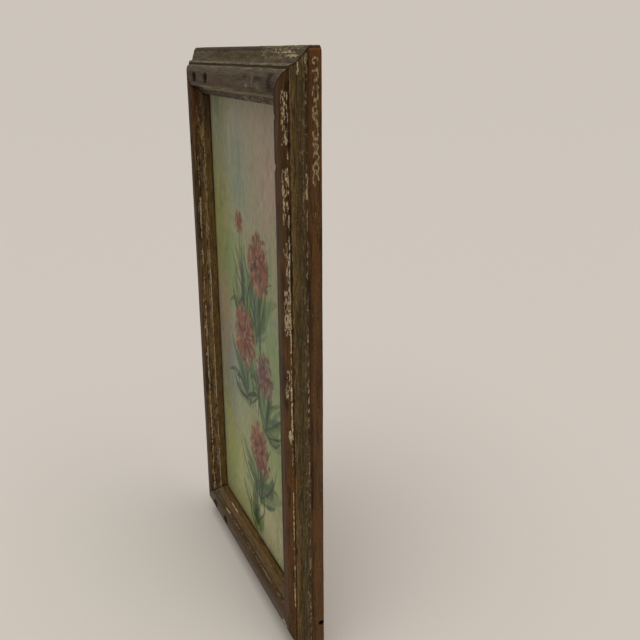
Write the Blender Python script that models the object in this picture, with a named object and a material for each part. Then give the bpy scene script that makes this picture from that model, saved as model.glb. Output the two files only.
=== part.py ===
"""A tall porcelain tile painting in a worn, mitred wooden frame.

It stands upright with its painted face toward -Y and the wall behind it toward +Y.
The origin is the middle of the backing panel's flat back, which lies against the wall.
"""

from math import cos, pi, radians, sin, sqrt

import bmesh
import bpy
from mathutils import Matrix, Vector

# Tile, about 6 by 12 inches
TILE_W = 0.153
TILE_H = 0.302
TILE_T = 0.0046
TILE_EDGE_R = 0.0008

# Seat of the tile in the frame
TILE_SIDE_PLAY = 0.0010
RABBET_W = 0.0040
RABBET_D = 0.0052
FIT_GAP = 0.0003

# Moulding from its outer side to the sight edge: widths run toward the tile, rises toward the front
SIDE_D = 0.0047
SHOULDER_W = 0.0025
SHOULDER_RISE = 0.0026
SHOULDER_STEPS = 3
BAND_W = 0.0057
BAND_RISE = 0.0032
BEAD_W = 0.0016
BEAD_RISE = 0.0027
BEAD_STEPS = 3
QUIRK_W = 0.0008
QUIRK_D = 0.0006
BULGE_OUTER_W = 0.0078
BULGE_INNER_W = 0.0063
BULGE_RISE = 0.0043
BULGE_STEPS = 7
STEP_D = 0.0035
LIP_W = 0.0049
LIP_FALL = 0.0032
LIP_HOLLOW = 0.0005
LIP_STEPS = 4
SIGHT_SLOPE = 0.0004

# Pair of gouges across the crown of each rail, measured from its left end
GOUGE_FROM_END = (0.035, 0.061)
GOUGE_ALONG = 0.0086
GOUGE_ACROSS = 0.0066
GOUGE_D = 0.0030

# Open nail hole low on the outer side of the right stile
NAIL_HOLE_R = 0.0012
NAIL_HOLE_D = 0.0030
NAIL_HOLE_UP = 0.029
NAIL_HOLE_IN = 0.0017
NAIL_HOLE_SIDES = 20

# Backing panel and the brads that hold it
PANEL_T = 0.0025
PANEL_LAP = 0.0085
PANEL_CORNER_R = 0.0010
BRAD_SHANK_R = 0.0006
BRAD_HEAD_R = 0.0013
BRAD_HEAD_T = 0.0006
BRAD_POINT_L = 0.0012
BRAD_L = 0.0062
BRAD_SUNK = 0.0001
BRAD_EDGE = 0.0042
BRAD_FROM_END = 0.0126
BRADS_PER_SIDE = 3
BRAD_SIDES = 16

# Sizes and places that follow from those above
BACK_Y = -PANEL_T - FIT_GAP
RABBET_OPEN_W = TILE_W + 2 * TILE_SIDE_PLAY
RABBET_OPEN_H = TILE_H + 2 * TILE_SIDE_PLAY
BAND_U = SHOULDER_W + BAND_W
BAND_D = SIDE_D + SHOULDER_RISE + BAND_RISE
BEAD_U = BAND_U + BEAD_W
BEAD_D = BAND_D + BEAD_RISE
QUIRK_U = BEAD_U + QUIRK_W
CROWN_U = QUIRK_U + BULGE_OUTER_W
CROWN_D = BEAD_D - QUIRK_D + BULGE_RISE
LIP_U = CROWN_U + BULGE_INNER_W
LIP_D = CROWN_D - STEP_D
MOULDING_W = LIP_U + LIP_W + SIGHT_SLOPE
FRAME_W = RABBET_OPEN_W + 2 * (MOULDING_W - RABBET_W)
FRAME_H = RABBET_OPEN_H + 2 * (MOULDING_W - RABBET_W)
PANEL_W = RABBET_OPEN_W + 2 * PANEL_LAP
PANEL_H = RABBET_OPEN_H + 2 * PANEL_LAP


def clear_scene():
    for obj in list(bpy.data.objects):
        bpy.data.objects.remove(obj, do_unlink=True)


def make_material(name, colour, roughness, metallic=0.0):
    material = bpy.data.materials.new(name)
    material.use_nodes = True
    shader = material.node_tree.nodes["Principled BSDF"]
    shader.inputs["Base Color"].default_value = (*colour, 1.0)
    shader.inputs["Roughness"].default_value = roughness
    shader.inputs["Metallic"].default_value = metallic
    return material


def make_object(name, bm, material=None):
    bmesh.ops.recalc_face_normals(bm, faces=bm.faces)
    mesh = bpy.data.meshes.new(name)
    bm.to_mesh(mesh)
    bm.free()
    if material:
        mesh.materials.append(material)
    obj = bpy.data.objects.new(name, mesh)
    bpy.context.scene.collection.objects.link(obj)
    return obj


def cut_from(targets, name, bm, place):
    """A hidden shape at place that a Boolean takes out of each target."""
    tool = make_object(name, bm)
    tool.location = place
    tool.hide_render = True
    tool.display_type = "WIRE"
    for target in targets:
        cut = target.modifiers.new(name, "BOOLEAN")
        cut.operation = "DIFFERENCE"
        cut.solver = "EXACT"
        cut.object = tool


def turned(outline, sides):
    """Closed body of revolution about Y, from an outline of (radius, y) that starts and ends on the axis."""
    bm = bmesh.new()
    ring = [bm.verts.new((radius, y, 0)) for radius, y in outline]
    edges = [bm.edges.new(pair) for pair in zip(ring, ring[1:])]
    bmesh.ops.spin(
        bm,
        geom=ring + edges,
        cent=(0, 0, 0),
        axis=(0, 1, 0),
        angle=2 * pi,
        steps=sides,
        use_merge=True,
    )
    bmesh.ops.remove_doubles(bm, verts=bm.verts, dist=1e-6)
    return bm


def slab(width, height, thickness):
    """Upright plate with its back at y = 0 and its front toward -Y."""
    bm = bmesh.new()
    size = Matrix.Diagonal((width, thickness, height, 1.0))
    bmesh.ops.create_cube(bm, size=1.0, matrix=Matrix.Translation((0, -thickness / 2, 0)) @ size)
    return bm


def quarter_turns(steps):
    return [radians(90) * step / steps for step in range(1, steps + 1)]


def moulding_outline():
    """Closed section of the moulding as (u, d): u in from the outer side, d forward of the back."""
    points = [(0.0, 0.0), (0.0, SIDE_D)]
    for turn in quarter_turns(SHOULDER_STEPS):
        points.append((SHOULDER_W * (1 - cos(turn)), SIDE_D + SHOULDER_RISE * sin(turn)))
    points.append((BAND_U, BAND_D))
    for turn in quarter_turns(BEAD_STEPS):
        points.append((BAND_U + BEAD_W * (1 - cos(turn)), BAND_D + BEAD_RISE * sin(turn)))
    points.append((BEAD_U + QUIRK_W / 2, BEAD_D - QUIRK_D))
    points.append((QUIRK_U, BEAD_D - QUIRK_D))
    for turn in quarter_turns(BULGE_STEPS):
        u = QUIRK_U + BULGE_OUTER_W * (1 - cos(turn))
        points.append((u, CROWN_D - BULGE_RISE * (1 - sin(turn))))
    for turn in quarter_turns(BULGE_STEPS):
        u = CROWN_U + BULGE_INNER_W * sqrt(sin(turn))
        points.append((u, LIP_D + STEP_D * sqrt(abs(cos(turn)))))
    for step in range(1, LIP_STEPS + 1):
        share = step / LIP_STEPS
        hollow = LIP_HOLLOW * sin(pi * share)
        points.append((LIP_U + LIP_W * share, LIP_D - LIP_FALL * share - hollow))
    points.append((MOULDING_W, RABBET_D))
    points.append((MOULDING_W - RABBET_W, RABBET_D))
    points.append((MOULDING_W - RABBET_W, 0.0))
    return points


def moulding_length(name, length, material):
    """One length of moulding along X, mitred at both ends: outer side at z = 0, tile toward +Z."""
    bm = bmesh.new()
    section = [bm.verts.new((-length, -d, u)) for u, d in moulding_outline()]
    swept = bmesh.ops.extrude_face_region(bm, geom=[bm.faces.new(section)])
    moved = [item for item in swept["geom"] if isinstance(item, bmesh.types.BMVert)]
    bmesh.ops.translate(bm, verts=moved, vec=(2 * length, 0, 0))
    for side in (-1, 1):
        cut = bmesh.ops.bisect_plane(
            bm,
            geom=bm.verts[:] + bm.edges[:] + bm.faces[:],
            plane_co=(side * (length / 2 - FIT_GAP / sqrt(2)), 0, 0),
            plane_no=Vector((side, 0, 1)).normalized(),
            clear_outer=True,
        )
        edges = [item for item in cut["geom_cut"] if isinstance(item, bmesh.types.BMEdge)]
        bmesh.ops.edgeloop_fill(bm, edges=edges)
    return make_object(name, bm, material)


def make_frame():
    """The four lengths of moulding, turned about Y so that their outer sides face outward."""
    wood = make_material("worn_painted_wood", (0.09, 0.055, 0.025), 0.7)
    frame = {}
    for name, length, x, z, turn in (
        ("bottom_rail", FRAME_W, 0, -FRAME_H / 2, 0),
        ("top_rail", FRAME_W, 0, FRAME_H / 2, 180),
        ("left_stile", FRAME_H, -FRAME_W / 2, 0, 90),
        ("right_stile", FRAME_H, FRAME_W / 2, 0, -90),
    ):
        frame[name] = moulding_length(name, length, wood)
        frame[name].location = (x, BACK_Y, z)
        frame[name].rotation_euler.y = radians(turn)
    return frame


def cut_gouges(rail, crown_z):
    for number, from_end in enumerate(GOUGE_FROM_END, 1):
        bm = bmesh.new()
        bmesh.ops.create_icosphere(bm, subdivisions=3, radius=1.0)
        bmesh.ops.scale(bm, verts=bm.verts, vec=(GOUGE_ALONG / 2, GOUGE_D, GOUGE_ACROSS / 2))
        place = (-FRAME_W / 2 + from_end, BACK_Y - CROWN_D, crown_z)
        cut_from([rail], f"{rail.name}_gouge_{number}", bm, place)


def cut_nail_hole(stile):
    outline = [(0, -NAIL_HOLE_D), (NAIL_HOLE_R, -NAIL_HOLE_D), (NAIL_HOLE_R, NAIL_HOLE_D), (0, NAIL_HOLE_D)]
    bm = turned(outline, NAIL_HOLE_SIDES)
    bmesh.ops.rotate(bm, verts=bm.verts, matrix=Matrix.Rotation(radians(90), 3, "Z"))
    place = (FRAME_W / 2, BACK_Y - NAIL_HOLE_IN, -FRAME_H / 2 + NAIL_HOLE_UP)
    cut_from([stile], "nail_hole", bm, place)


def make_tile():
    bm = slab(TILE_W, TILE_H, TILE_T)
    outer = [edge for edge in bm.edges if edge.calc_length() > TILE_T * 1.01]
    bmesh.ops.bevel(
        bm, geom=outer, offset=TILE_EDGE_R, segments=2, profile=0.5, affect="EDGES", material=-1
    )
    tile = make_object("tile", bm, make_material("glazed_porcelain", (0.42, 0.41, 0.27), 0.25))
    tile.location.y = BACK_Y - RABBET_D + FIT_GAP + TILE_T
    return tile


def brad_places(frame):
    """(x, z, length of moulding under it) for each brad: a row down each side, one at each end."""
    x = PANEL_W / 2 - BRAD_EDGE
    z = PANEL_H / 2 - BRAD_EDGE
    spacing = 2 * (PANEL_H / 2 - BRAD_FROM_END) / (BRADS_PER_SIDE - 1)
    rows = [BRAD_FROM_END - PANEL_H / 2 + spacing * row for row in range(BRADS_PER_SIDE)]
    places = [(-x, row, frame["left_stile"]) for row in rows]
    places += [(x, row, frame["right_stile"]) for row in rows]
    places += [(0, -z, frame["bottom_rail"]), (0, z, frame["top_rail"])]
    return places


def brad_outline(gap=0.0, head_back=0.0):
    """Outline of a brad with its head's back at head_back, or of its hole with a gap all round."""
    under_head = -BRAD_SUNK - BRAD_HEAD_T - gap
    point = -BRAD_SUNK - BRAD_L - gap
    return [
        (0, head_back),
        (BRAD_HEAD_R + gap, head_back),
        (BRAD_HEAD_R + gap, under_head),
        (BRAD_SHANK_R + gap, under_head),
        (BRAD_SHANK_R + gap, point + BRAD_POINT_L),
        (0, point),
    ]


def make_backing(frame):
    """Thin panel over the tile's back, and the brads that pass through it into the frame."""
    bm = slab(PANEL_W, PANEL_H, PANEL_T)
    corners = [edge for edge in bm.edges if edge.calc_length() < PANEL_T * 1.01]
    bmesh.ops.bevel(
        bm, geom=corners, offset=PANEL_CORNER_R, segments=2, profile=0.5, affect="EDGES", material=-1
    )
    panel = make_object("backing_panel", bm, make_material("plain_thin_wood", (0.42, 0.30, 0.17), 0.8))
    steel = make_material("dull_steel", (0.25, 0.24, 0.22), 0.5, 1.0)
    for number, (x, z, length) in enumerate(brad_places(frame), 1):
        brad = turned(brad_outline(head_back=-BRAD_SUNK), BRAD_SIDES)
        make_object(f"brad_{number}", brad, steel).location = (x, 0, z)
        hole = turned(brad_outline(FIT_GAP, PANEL_T), BRAD_SIDES)
        cut_from([panel, length], f"brad_hole_{number}", hole, (x, 0, z))


clear_scene()
frame_lengths = make_frame()
cut_gouges(frame_lengths["top_rail"], FRAME_H / 2 - CROWN_U)
cut_gouges(frame_lengths["bottom_rail"], CROWN_U - FRAME_H / 2)
cut_nail_hole(frame_lengths["right_stile"])
make_tile()
make_backing(frame_lengths)
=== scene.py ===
"""Looks of a tall porcelain tile painting in a worn, mitred wooden frame.

It is made in the order in which it is put together: the four lengths of moulding, the painted tile that
sits in their rabbet, the thin panel behind it, and the brads. The painted face looks toward -Y, the wall
is toward +Y, and the origin is the middle of the panel's flat back.
"""

from math import cos, pi, radians, sin, sqrt, tau

import bmesh
import bpy
import numpy as np
from mathutils import Matrix, Vector


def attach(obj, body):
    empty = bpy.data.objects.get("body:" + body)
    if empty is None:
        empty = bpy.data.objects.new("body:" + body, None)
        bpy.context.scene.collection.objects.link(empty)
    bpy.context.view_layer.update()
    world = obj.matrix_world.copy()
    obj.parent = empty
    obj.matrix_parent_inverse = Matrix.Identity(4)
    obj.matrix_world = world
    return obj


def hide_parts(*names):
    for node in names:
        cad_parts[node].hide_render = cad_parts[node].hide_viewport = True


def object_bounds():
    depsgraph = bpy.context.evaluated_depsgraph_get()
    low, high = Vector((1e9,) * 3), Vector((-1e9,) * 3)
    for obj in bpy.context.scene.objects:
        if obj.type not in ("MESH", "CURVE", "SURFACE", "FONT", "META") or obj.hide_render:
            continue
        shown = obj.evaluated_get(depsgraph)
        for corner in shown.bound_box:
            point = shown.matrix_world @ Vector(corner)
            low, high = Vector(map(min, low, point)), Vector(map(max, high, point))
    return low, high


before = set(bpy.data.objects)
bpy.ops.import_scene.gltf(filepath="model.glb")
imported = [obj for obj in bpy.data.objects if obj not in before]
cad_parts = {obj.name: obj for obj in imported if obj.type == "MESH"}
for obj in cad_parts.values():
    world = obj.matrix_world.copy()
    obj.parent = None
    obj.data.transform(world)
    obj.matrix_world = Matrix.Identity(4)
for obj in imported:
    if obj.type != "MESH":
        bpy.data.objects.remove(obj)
cad_low, cad_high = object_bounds()


# Studio: a camera where the photograph was taken from, close to the right side and looking down on it,
# a plain pale floor under the frame, and soft light from above and from the right.

def linear(hex_colour):
    """An sRGB hex colour as linear red, green, blue and 1."""
    channels = [int(hex_colour[start : start + 2], 16) / 255 for start in (1, 3, 5)]
    return (*[c / 12.92 if c <= 0.04045 else ((c + 0.055) / 1.055) ** 2.4 for c in channels], 1.0)


def set_inputs(material, node, inputs):
    """Links or sets some inputs of a node or of the material's shader."""
    for name, value in inputs.items():
        if isinstance(value, bpy.types.NodeSocket):
            material.node_tree.links.new(value, node.inputs[name])
        else:
            node.inputs[name].default_value = value


def put(material, kind, inputs=None, output=0, **settings):
    """Adds a node with its settings and links, and gives one of its outputs back."""
    node = material.node_tree.nodes.new(kind)
    for name, value in settings.items():
        setattr(node, name, value)
    set_inputs(material, node, inputs or {})
    return node.outputs[output]


def new_material(name):
    """A material with nodes, and its shader."""
    material = bpy.data.materials.new(name)
    material.use_nodes = True
    return material, material.node_tree.nodes["Principled BSDF"]


def add_object(name, data):
    """Puts a new object with this mesh, camera or light in the scene."""
    obj = bpy.data.objects.new(name, data)
    bpy.context.scene.collection.objects.link(obj)
    return obj


CAMERA_PLACE = (0.4715, -0.1629, 0.1753)
CAMERA_YAW = 66.70
CAMERA_DOWN = 18.44
CAMERA_ROLL = 0.28
CAMERA_LENS_MM = 45.41
CAMERA_SENSOR_MM = 36.0
CAMERA_NEAREST = 0.01

camera = add_object("camera", bpy.data.cameras.new("camera"))
camera.data.lens = CAMERA_LENS_MM
camera.data.sensor_width = CAMERA_SENSOR_MM
camera.data.clip_start = CAMERA_NEAREST
camera.matrix_world = (
    Matrix.Translation(CAMERA_PLACE)
    @ Matrix.Rotation(radians(CAMERA_YAW), 4, "Z")
    @ Matrix.Rotation(radians(90 - CAMERA_DOWN), 4, "X")
    @ Matrix.Rotation(radians(-CAMERA_ROLL), 4, "Z")
)
bpy.context.scene.camera = camera
bpy.context.scene.view_settings.view_transform = "Standard"

FLOOR_SIDE = 12.0
FLOOR_GAP = 0.0004


def mesh_from(bm, name):
    """A finished bmesh as a mesh of this name."""
    mesh = bpy.data.meshes.new(name)
    bm.to_mesh(mesh)
    bm.free()
    return mesh


bm = bmesh.new()
bmesh.ops.create_grid(bm, x_segments=1, y_segments=1, size=FLOOR_SIDE / 2)
bmesh.ops.translate(bm, verts=bm.verts, vec=(0, 0, cad_low.z - FLOOR_GAP))
floor = add_object("floor", mesh_from(bm, "floor"))
pale_paint, matt = new_material("pale_matt_paint")
set_inputs(pale_paint, matt, {"Base Color": linear("#dcd7d0"), "Roughness": 0.9})
floor.data.materials.append(pale_paint)

world = bpy.data.worlds.new("studio")
world.use_nodes = True
bpy.context.scene.world = world
sky_light = put(world, "ShaderNodeBackground", {"Color": linear("#f4f1ec"), "Strength": 0.25})
sky_seen = put(world, "ShaderNodeBackground", {"Color": linear("#cdc5bb"), "Strength": 1.0})
seen = put(world, "ShaderNodeLightPath", None, "Is Camera Ray")
both = put(world, "ShaderNodeMixShader", {0: seen, 1: sky_light, 2: sky_seen})
set_inputs(world, world.node_tree.nodes["World Output"], {"Surface": both})

SOFT_LIGHT_STRENGTH = 2.15
SOFT_LIGHT_SPREAD = radians(70)
SOFT_LIGHT_FROM = (0.30, -0.14, 1.0)

soft_light = add_object("soft_overhead_light", bpy.data.lights.new("soft_overhead_light", "SUN"))
soft_light.data.energy = SOFT_LIGHT_STRENGTH
soft_light.data.angle = SOFT_LIGHT_SPREAD
soft_light.data.color = linear("#fffaf5")[:3]
soft_light.rotation_euler = Vector(SOFT_LIGHT_FROM).to_track_quat("Z", "Y").to_euler()


# Frame: four lengths of softwood moulding, cut to one profile and mitred at the corners, where a hair gap
# is left. From its outer side the section has a round shoulder, a sloping band, a bead, a groove, a full
# bulge, a step and a hollow lip at the sight edge. The sizes are the CAD model's own.

MM = 0.001
TILE_W = 0.153
TILE_H = 0.302
TILE_SIDE_PLAY = 0.0010
RABBET_W = 0.0040
RABBET_D = 0.0052
FIT_GAP = 0.0003
BACK_Y = -0.0028

SIDE_D = 0.0047
SHOULDER_W = 0.0025
SHOULDER_RISE = 0.0026
BAND_W = 0.0057
BAND_RISE = 0.0032
BEAD_W = 0.0016
BEAD_RISE = 0.0027
QUIRK_W = 0.0008
QUIRK_D = 0.0006
QUIRK_OUTER_SLOPE = 0.3 * QUIRK_W
QUIRK_INNER_SLOPE = 0.2 * QUIRK_W
BULGE_OUTER_W = 0.0078
BULGE_INNER_W = 0.0063
BULGE_RISE = 0.0043
STEP_D = 0.0035
LIP_W = 0.0049
LIP_FALL = 0.0032
LIP_HOLLOW = 0.0005
SIGHT_SLOPE = 0.0004

BAND_U = SHOULDER_W + BAND_W
BAND_D = SIDE_D + SHOULDER_RISE + BAND_RISE
BEAD_U = BAND_U + BEAD_W
BEAD_D = BAND_D + BEAD_RISE
QUIRK_U = BEAD_U + QUIRK_W
CROWN_U = QUIRK_U + BULGE_OUTER_W
CROWN_D = BEAD_D - QUIRK_D + BULGE_RISE
LIP_U = CROWN_U + BULGE_INNER_W
LIP_D = CROWN_D - STEP_D
SIGHT_U = LIP_U + LIP_W
MOULDING_W = SIGHT_U + SIGHT_SLOPE
FRAME_W = TILE_W + 2 * (TILE_SIDE_PLAY + MOULDING_W - RABBET_W)
FRAME_H = TILE_H + 2 * (TILE_SIDE_PLAY + MOULDING_W - RABBET_W)

SHOULDER_FACETS = 8
BEAD_FACETS = 7
BULGE_FACETS = 20
LIP_FACETS = 12
FACE_STEP = 0.0005
RUN_STEP = 0.0006


def curve_points(steps, place):
    """Points of one curved part of the section, from its first step past the start to its end."""
    return [place(step / steps) for step in range(1, steps + 1)]


def moulding_section():
    """The section as (u, d), u in from the outer side and d out from the back, and each part's end."""
    turn = pi / 2
    parts = {
        "side": [(0.0, SIDE_D)],
        "shoulder": curve_points(
            SHOULDER_FACETS,
            lambda k: (SHOULDER_W * (1 - cos(turn * k)), SIDE_D + SHOULDER_RISE * sin(turn * k)),
        ),
        "band": [(BAND_U, BAND_D)],
        "bead": curve_points(
            BEAD_FACETS,
            lambda k: (BAND_U + BEAD_W * (1 - cos(turn * k)), BAND_D + BEAD_RISE * sin(turn * k)),
        ),
        "quirk": [
            (BEAD_U + QUIRK_OUTER_SLOPE, BEAD_D - QUIRK_D),
            (QUIRK_U - QUIRK_INNER_SLOPE, BEAD_D - QUIRK_D),
        ],
        "outer_bulge": curve_points(
            BULGE_FACETS,
            lambda k: (
                QUIRK_U + BULGE_OUTER_W * (1 - cos(turn * k)),
                CROWN_D - BULGE_RISE * (1 - sin(turn * k)),
            ),
        ),
        "inner_bulge": curve_points(
            BULGE_FACETS,
            lambda k: (
                CROWN_U + BULGE_INNER_W * sqrt(sin(turn * k)),
                LIP_D + STEP_D * sqrt(abs(cos(turn * k))),
            ),
        ),
        "lip": curve_points(
            LIP_FACETS,
            lambda k: (LIP_U + LIP_W * k, LIP_D - LIP_FALL * k - LIP_HOLLOW * sin(pi * k)),
        ),
        "sight": [(MOULDING_W, RABBET_D)],
        "rabbet": [(MOULDING_W - RABBET_W, RABBET_D), (MOULDING_W - RABBET_W, 0.0)],
    }
    points = [(0.0, 0.0)]
    ends = {}
    walked = 0.0
    for part, corners in parts.items():
        for corner in corners:
            start = points[-1]
            length = sqrt((corner[0] - start[0]) ** 2 + (corner[1] - start[1]) ** 2)
            pieces = max(1, round(length / FACE_STEP)) if part != "rabbet" else 2
            for piece in range(1, pieces + 1):
                share = piece / pieces
                points.append(tuple(a + (b - a) * share for a, b in zip(start, corner)))
            walked += length
        ends[part] = walked / MM
    return points, ends


section, part_ends = moulding_section()


def sweep_moulding(length):
    """One length of moulding along X, outer side at z = 0 and tile toward +Z, mitred at both ends."""
    bm = bmesh.new()
    ring = [bm.verts.new((-length / 2, -d, u)) for u, d in section]
    edges = [bm.edges.new(pair) for pair in zip(ring, ring[1:] + ring[:1])]
    swept = bmesh.ops.extrude_edge_only(bm, edges=edges)["geom"]
    far = [item for item in swept if isinstance(item, bmesh.types.BMVert)]
    bmesh.ops.translate(bm, verts=far, vec=(length, 0, 0))
    lines = [edge for edge in bm.edges if edge.calc_length() > 0.5 * length]
    bmesh.ops.subdivide_edges(bm, edges=lines, cuts=round(length / RUN_STEP) - 1)
    for vert in bm.verts:
        vert.co.x *= 1 - 2 * (vert.co.z + FIT_GAP / sqrt(2)) / length
    ends = [edge for edge in bm.edges if edge.is_boundary]
    bmesh.ops.holes_fill(bm, edges=ends, sides=0)
    bmesh.ops.recalc_face_normals(bm, faces=bm.faces)
    return mesh_from(bm, "moulding")


def blend_in(low, high, value):
    """0 below low and 1 above high, smooth between; with low above high it falls instead."""
    share = np.clip((value - low) / (high - low), 0, 1)
    return share * share * (3 - 2 * share)


LATTICE = 97


def mottle(a, b, seed):
    """Smooth random values from 0 to 1, one new value for each unit of a and b."""
    lattice = np.random.default_rng(seed).random((LATTICE, LATTICE))
    i, j = np.floor(a).astype(int), np.floor(b).astype(int)
    p, q = a - i, b - j
    p, q = p * p * (3 - 2 * p), q * q * (3 - 2 * q)
    next_i, next_j = (i + 1) % LATTICE, (j + 1) % LATTICE
    i, j = i % LATTICE, j % LATTICE
    near = lattice[i, j] * (1 - p) + lattice[next_i, j] * p
    far = lattice[i, next_j] * (1 - p) + lattice[next_i, next_j] * p
    return near * (1 - q) + far * q


# What lies on the wood, three coats to each layer that is stored on the mesh: paint over it, dirt,
# stain and painted light in it, and small marks.
COATS = {
    "paint": ("cream", "olive", "gold"),
    "stain_and_painted_light": ("grime_and_shade", "grey_and_highlight", "warm"),
    "marks": ("flecks", "cracks", "rub"),
}

# Sizes of the islands that a coat breaks into and of ragged edges, how far out a loop is felt, the cosine
# that leaves it open on one side, and the shift that gives each length its own grain.
ISLAND_MM = (7.0, 1.6)
FLAKE_EDGE_MM = (1.6, 1.1)
LOOP_EDGE_MM = (2.6, 1.8)
LOOP_FAR_MM = 3.0
LOOP_GAP_COS = 0.80
GRAIN_SHIFT_MM = 500.0
SHARP_ANGLE = radians(50)


class WornFace:
    """The wear on one length, in mm: run from its top or left end, across from the back of its side."""

    def __init__(self, mesh, length, way, seed):
        count = len(mesh.vertices)
        self.place = np.empty(count * 3)
        mesh.vertices.foreach_get("co", self.place)
        self.place = self.place.reshape(-1, 3)
        self.mesh = mesh
        self.seed = seed
        outline = np.array(section)
        gaps = np.hypot(*np.diff(outline, axis=0).T)
        walk = np.concatenate([[0], np.cumsum(gaps)]) / MM
        lean = np.roll(outline, -1, axis=0) - np.roll(outline, 1, axis=0)
        outward = np.stack([-lean[:, 1], lean[:, 0]], 1)
        outward /= np.linalg.norm(outward, axis=1)[:, None]
        u, d = self.place[:, 2], -self.place[:, 1]
        nearest = np.argmin((u[:, None] - outline[:, 0]) ** 2 + (d[:, None] - outline[:, 1]) ** 2, axis=1)
        self.across = walk[nearest]
        self.outward = outward[nearest]
        self.run = (length / 2 + way * self.place[:, 0]) / MM
        self.u, self.d = u / MM, d / MM
        self.to_mitre = np.minimum(self.run, length / MM - self.run) - self.u
        self.sink = np.zeros(count)
        self.blunt = np.zeros(count)
        self.to_loop = np.full(count, LOOP_FAR_MM)
        self.coats = {coat: np.zeros(count) for layer in COATS.values() for coat in layer}

    def noise(self, run_mm, across_mm, seed=0):
        """Smooth random values from 0 to 1 in patches of this size."""
        return mottle(self.run / run_mm, self.across / across_mm, self.seed + seed)

    def stripe(self, across, width):
        """1 on a line along the length, falling to 0 at width mm from it."""
        return blend_in(width, 0.15 * width, np.abs(self.across - across))

    def zone(self, start, end, soft=0.6):
        """1 between two places across the section."""
        rise = blend_in(start - soft, start + soft, self.across)
        return rise * blend_in(end + soft, end - soft, self.across)

    def stretch(self, start, end, soft=4.0):
        """1 between two places along the length, with soft ends."""
        return blend_in(start - soft, start + soft, self.run) * blend_in(end + soft, end - soft, self.run)

    def band(self, low, high, start, end, soft):
        """1 between two places across the section and two along the length."""
        return self.zone(low, high) * self.stretch(start, end, soft)

    def far(self, run, across, along, wide):
        """The distance from a place, as a share of a patch's two half sizes."""
        return np.hypot((self.run - run) / along, (self.across - across) / wide)

    def lay(self, coat, amount):
        """Lays a coat wherever it isn't this strong already."""
        self.coats[coat] = np.maximum(self.coats[coat], amount)

    def crumble(self, coat, where, amount, seed=0):
        """A coat left in islands; amount is the share of the place that it still covers."""
        self.lay(coat, where * (amount + 0.45 * (self.noise(*ISLAND_MM, 80 + seed) - 0.5)))

    def patch(self, coat, run, across, along, wide, most=1.0):
        """A single ragged flake or stain."""
        ragged = 0.9 * (self.noise(*FLAKE_EDGE_MM, 40 + int(run)) - 0.5)
        far = self.far(run, across, along, wide) + ragged
        self.lay(coat, most * np.clip(1.0 - 0.5 * far, 0, 1))

    def loop(self, run, across, along, wide, seed=0):
        """The open outline of a flaked spot, kept as a distance in mm that is negative inside."""
        ragged = 0.35 * (self.noise(*LOOP_EDGE_MM, 60 + seed) - 0.5)
        far = self.far(run, across, along, wide) + ragged
        away = (far - 1) * min(along, wide)
        around = np.arctan2((self.across - across) / wide, (self.run - run) / along)
        away = np.where(np.cos(around - 2.4 * seed) > LOOP_GAP_COS, LOOP_FAR_MM, away)
        self.to_loop = np.where(np.abs(away) < np.abs(self.to_loop), away, self.to_loop)

    def dent(self, run, across, along, wide, deep, dark=1.0):
        """A knock or gouge, painted dark inside as the shade in its hollow."""
        far = self.far(run, across, along, wide)
        self.sink = np.maximum(self.sink, deep * np.sqrt(np.clip(1 - far**2, 0, 1)))
        self.lay("grime_and_shade", dark * blend_in(1.25, 0.75, far))

    def finish(self, name, turn, shift):
        """Moves the vertices in by the wear, stores the coats and the grain, and turns the length."""
        moved = self.place.copy()
        moved[:, 0] -= np.sign(moved[:, 0]) * self.blunt * MM
        moved[:, 2] += (self.blunt - self.outward[:, 0] * self.sink) * MM
        moved[:, 1] += self.outward[:, 1] * self.sink * MM
        self.mesh.vertices.foreach_set("co", moved.ravel())
        grain = self.mesh.attributes.new("grain", "FLOAT_VECTOR", "POINT")
        place = np.stack([self.run + GRAIN_SHIFT_MM * self.seed, self.u, self.d], 1)
        grain.data.foreach_set("vector", place.ravel())
        self.mesh.attributes.new("to_loop", "FLOAT", "POINT").data.foreach_set("value", self.to_loop)
        for layer, coats in COATS.items():
            colour = self.mesh.attributes.new(layer, "FLOAT_COLOR", "POINT")
            values = [np.clip(self.coats[coat], 0, 1) for coat in coats]
            colour.data.foreach_set("color", np.stack([*values, np.ones(len(self.run))], 1).ravel())
        self.mesh.shade_smooth()
        self.mesh.set_sharp_from_angle(angle=SHARP_ANGLE)
        self.mesh.transform(Matrix.Translation(shift) @ Matrix.Rotation(radians(turn), 4, "Y"))
        self.mesh.update()
        self.mesh.name = name
        return add_object(name, self.mesh)


SHOULDER = part_ends["shoulder"]
BAND_FOOT = part_ends["band"]
BEAD = part_ends["bead"]
FOOT = part_ends["quirk"]
CROWN = part_ends["outer_bulge"]
STEP = part_ends["inner_bulge"]
SIGHT = part_ends["lip"]
RABBET = part_ends["sight"]

# Each arris as its place and the width of its wear, and each groove with its darkness too.
ARRISES = ((SHOULDER, 0.9), (BEAD - 0.4, 0.6), (STEP, 0.6), (SIGHT, 0.7))
GROOVES = (
    (FOOT - 0.5, 0.7, 0.8),
    (BAND_FOOT, 0.6, 0.35),
    (SHOULDER - 1.5, 0.7, 0.45),
    (STEP + 0.5, 1.0, 0.5),
    (CROWN + 5.0, 2.2, 0.25),
)


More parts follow.
